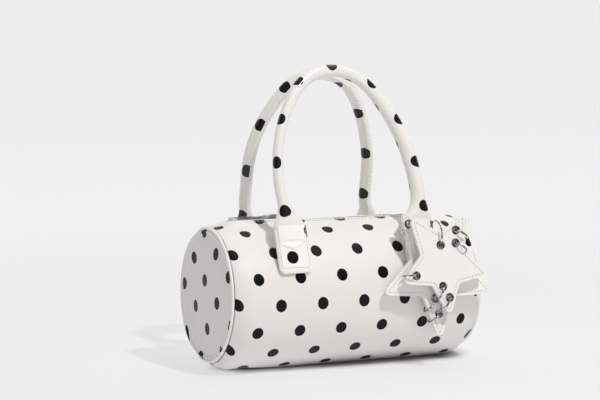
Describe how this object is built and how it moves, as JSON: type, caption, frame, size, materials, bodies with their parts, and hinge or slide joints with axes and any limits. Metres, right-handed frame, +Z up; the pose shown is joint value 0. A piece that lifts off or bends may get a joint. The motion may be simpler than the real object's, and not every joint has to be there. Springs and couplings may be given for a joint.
{
  "type": "barrel bag",
  "caption": "Small zipped barrel bag with folding rolled handles, flat round ends and a layered star charm hung on wire rings.",
  "frame": {"origin": "middle of the flat strip under the barrel that the bag stands on", "axes": "+X along the barrel to the charm's end, front towards -Y, +Z up"},
  "size_m": [0.207, 0.1374, 0.2281],
  "materials": {
    "dotted_leather": "satin",
    "plain_leather": "satin",
    "board": "matte",
    "lining": "matte",
    "filler": "matte",
    "zip_tape": "matte",
    "metal": "polished"
  },
  "bodies": {
    "bag": {"body_board": "board", "body_lining": "lining", "body_panel": "dotted_leather", "front_left_tab": "dotted_leather", "front_right_tab": "dotted_leather", "left_end_board": "board", "left_end_lining": "lining", "left_end_panel": "dotted_leather", "left_end_teeth": "metal", "left_piping": "plain_leather", "left_zip_end": "zip_tape", "left_zip_stop": "metal", "rear_left_tab": "dotted_leather", "rear_right_tab": "dotted_leather", "right_end_board": "board", "right_end_lining": "lining", "right_end_panel": "dotted_leather", "right_end_teeth": "metal", "right_piping": "plain_leather", "right_zip_end": "zip_tape", "right_zip_stop": "metal", "tab_eyelet": "metal"},
    "front_handle": {"front_handle_cover": "dotted_leather", "front_handle_filler": "filler"},
    "rear_handle": {"rear_handle_cover": "dotted_leather", "rear_handle_filler": "filler"},
    "front_zip_lip": {"front_zip_tape": "zip_tape", "front_zip_teeth": "metal"},
    "rear_zip_lip": {"rear_zip_tape": "zip_tape", "rear_zip_teeth": "metal"},
    "zip_slider": {"zip_slider": "metal"},
    "zip_puller": {"zip_puller": "metal"},
    "charm": {"back_star_face": "plain_leather", "back_star_backing": "plain_leather", "back_star_eyelets": "metal"},
    "front_star": {"front_star_face": "plain_leather", "front_star_backing": "plain_leather", "front_star_eyelets": "metal"},
    "back_low_ring": {"back_low_ring": "metal"},
    "back_middle_low_ring": {"back_middle_low_ring": "metal"},
    "back_upper_left_ring": {"back_upper_left_ring": "metal"},
    "front_left_ring": {"front_left_ring": "metal"},
    "front_low_ring": {"front_low_ring": "metal"},
    "front_middle_low_ring": {"front_middle_low_ring": "metal"},
    "front_middle_right_ring": {"front_middle_right_ring": "metal"},
    "front_upper_right_ring": {"front_upper_right_ring": "metal"},
    "hang_ring": {"hang_ring": "metal"},
    "tab_ring": {"tab_ring": "metal"}
  },
  "joints": [
    {"name": "front_handle_fold", "type": "hinge", "parent": "bag", "child": "front_handle", "pos_m": [0, -0.04118, 0.11186], "axis": [1, 0, 0], "range_deg": [0, 70]},
    {"name": "rear_handle_fold", "type": "hinge", "parent": "bag", "child": "rear_handle", "pos_m": [0, 0.05004, 0.09797], "axis": [-1, 0, 0], "range_deg": [0, 100]},
    {"name": "zip_slide", "type": "slide", "parent": "bag", "child": "zip_slider", "axis": [1, 0, 0], "range_m": [0, 0.114]},
    {"name": "puller_flip", "type": "hinge", "parent": "zip_slider", "child": "zip_puller", "pos_m": [-0.0557, 0, 0.11371], "axis": [0, 1, 0], "range_deg": [0, 130]},
    {"name": "front_lip_fold", "type": "hinge", "parent": "bag", "child": "front_zip_lip", "pos_m": [0, -0.006, 0.10926], "axis": [1, 0, 0], "range_deg": [0, 75]},
    {"name": "rear_lip_fold", "type": "hinge", "parent": "bag", "child": "rear_zip_lip", "pos_m": [0, 0.006, 0.10926], "axis": [-1, 0, 0], "range_deg": [0, 75]},
    {"name": "charm_swing", "type": "hinge", "parent": "bag", "child": "charm", "pos_m": [0.0608, -0.04876, 0.1022], "axis": [-1, 0, 0], "range_deg": [0, 20]},
    {"name": "front_star_swing", "type": "hinge", "parent": "charm", "child": "front_star", "pos_m": [0.0608, -0.06338, 0.09352], "axis": [-1, 0, 0], "range_deg": [0, 8]},
    {"name": "back_low_ring_turn", "type": "hinge", "parent": "charm", "child": "back_low_ring", "pos_m": [0.0548, -0.06584, 0.03865], "axis": [0.5446, -0.1744, -0.8203], "continuous": true},
    {"name": "back_middle_low_ring_turn", "type": "hinge", "parent": "charm", "child": "back_middle_low_ring", "pos_m": [0.05232, -0.06378, 0.04833], "axis": [0.7431, -0.1391, -0.6545], "continuous": true},
    {"name": "back_upper_left_ring_turn", "type": "hinge", "parent": "charm", "child": "back_upper_left_ring", "pos_m": [0.03773, -0.05159, 0.10568], "axis": [0.8572, -0.1071, -0.5038], "continuous": true},
    {"name": "front_left_ring_turn", "type": "hinge", "parent": "front_star", "child": "front_left_ring", "pos_m": [0.0333, -0.06792, 0.07215], "axis": [-0.0523, -0.2076, -0.9768], "continuous": true},
    {"name": "front_low_ring_turn", "type": "hinge", "parent": "front_star", "child": "front_low_ring", "pos_m": [0.0612, -0.07259, 0.05017], "axis": [0.7986, -0.1251, -0.5887], "continuous": true},
    {"name": "front_middle_low_ring_turn", "type": "hinge", "parent": "front_star", "child": "front_middle_low_ring", "pos_m": [0.05706, -0.07089, 0.05816], "axis": [0.8746, -0.1008, -0.4742], "continuous": true},
    {"name": "front_middle_right_ring_turn", "type": "hinge", "parent": "front_star", "child": "front_middle_right_ring", "pos_m": [0.07801, -0.06389, 0.09112], "axis": [0.6157, 0.1638, 0.7708], "continuous": true},
    {"name": "front_upper_right_ring_turn", "type": "hinge", "parent": "front_star", "child": "front_upper_right_ring", "pos_m": [0.07936, -0.06182, 0.10085], "axis": [0.5736, 0.1703, 0.8013], "continuous": true},
    {"name": "hang_ring_turn", "type": "hinge", "parent": "charm", "child": "hang_ring", "pos_m": [0.0608, -0.05712, 0.10132], "axis": [1, 0, 0], "continuous": true},
    {"name": "tab_ring_turn", "type": "hinge", "parent": "bag", "child": "tab_ring", "pos_m": [0.0608, -0.04307, 0.1022], "axis": [0, 0, 1], "continuous": true}
  ]
}
